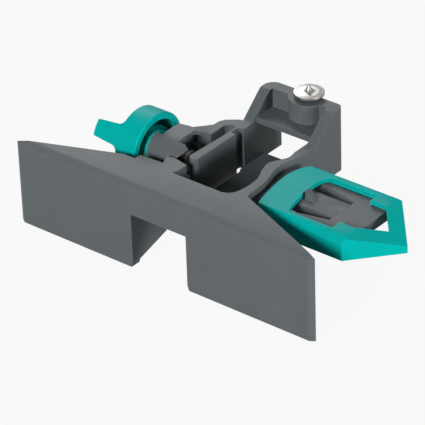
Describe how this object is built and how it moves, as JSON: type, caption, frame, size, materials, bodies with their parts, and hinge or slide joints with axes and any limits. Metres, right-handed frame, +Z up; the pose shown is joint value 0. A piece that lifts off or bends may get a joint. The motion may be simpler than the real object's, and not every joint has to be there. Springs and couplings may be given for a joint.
{
  "type": "edge and circle guide jig",
  "caption": "Moulded edge and circle guide: notched fence, hollow arm with a steel centre point, bar clamp with a wing knob and a clip-on pointed guard frame.",
  "frame": {"origin": "mid-width of the fence, on its front face, at its lower edge", "axes": "+X along the fence towards the guard frame, +Y from the fence's front face back along the arm, +Z up"},
  "size_m": [0.156, 0.0855, 0.051],
  "materials": {
    "grey_plastic": "fine satin moulding texture",
    "teal_plastic": "satin",
    "steel": "turned",
    "brass": "machined"
  },
  "bodies": {
    "frame": {"fence_plate": "grey_plastic", "fence_top": "grey_plastic", "fence_skirt": "grey_plastic", "fence_ribs": "grey_plastic", "arm_floor": "grey_plastic", "left_rail": "grey_plastic", "right_rail": "grey_plastic", "curved_rail": "grey_plastic", "point_shelf": "grey_plastic", "end_wall": "grey_plastic", "point_boss": "grey_plastic", "boss_insert": "brass", "centre_point": "steel", "slot_wall": "grey_plastic", "clamp_collar": "grey_plastic", "collar_hood": "grey_plastic", "collar_web": "grey_plastic", "scale_tongue": "grey_plastic", "scale_frame": "teal_plastic"},
    "jaw": {"clamp_jaw": "grey_plastic"},
    "catch": {"latch_finger": "grey_plastic"},
    "knob": {"wing_knob": "teal_plastic", "knob_nut": "brass", "retaining_ring": "steel"},
    "spindle": {"clamp_spindle": "steel", "pressure_plate": "steel"}
  },
  "joints": [
    {"name": "knob_turn", "type": "hinge", "parent": "frame", "child": "knob", "pos_m": [-0.03, 0.035, 0.0301], "axis": [1, 0, 0], "range_deg": [-360, 720]},
    {"name": "spindle_slide", "type": "slide", "parent": "frame", "child": "spindle", "axis": [1, 0, 0], "range_m": [-0.001, 0.002]},
    {"name": "jaw_flex", "type": "hinge", "parent": "frame", "child": "jaw", "pos_m": [-0.009, 0.05575, 0.0262], "axis": [0, 0, 1], "range_deg": [0, 1.5]},
    {"name": "catch_press", "type": "hinge", "parent": "frame", "child": "catch", "pos_m": [0.0556, 0.0381, 0.02915], "axis": [0, -1, 0], "range_deg": [0, 12]}
  ],
  "couplings": [
    {"joint": "spindle_slide", "follows": "knob_turn", "m_per_rad": 0.00015915}
  ]
}
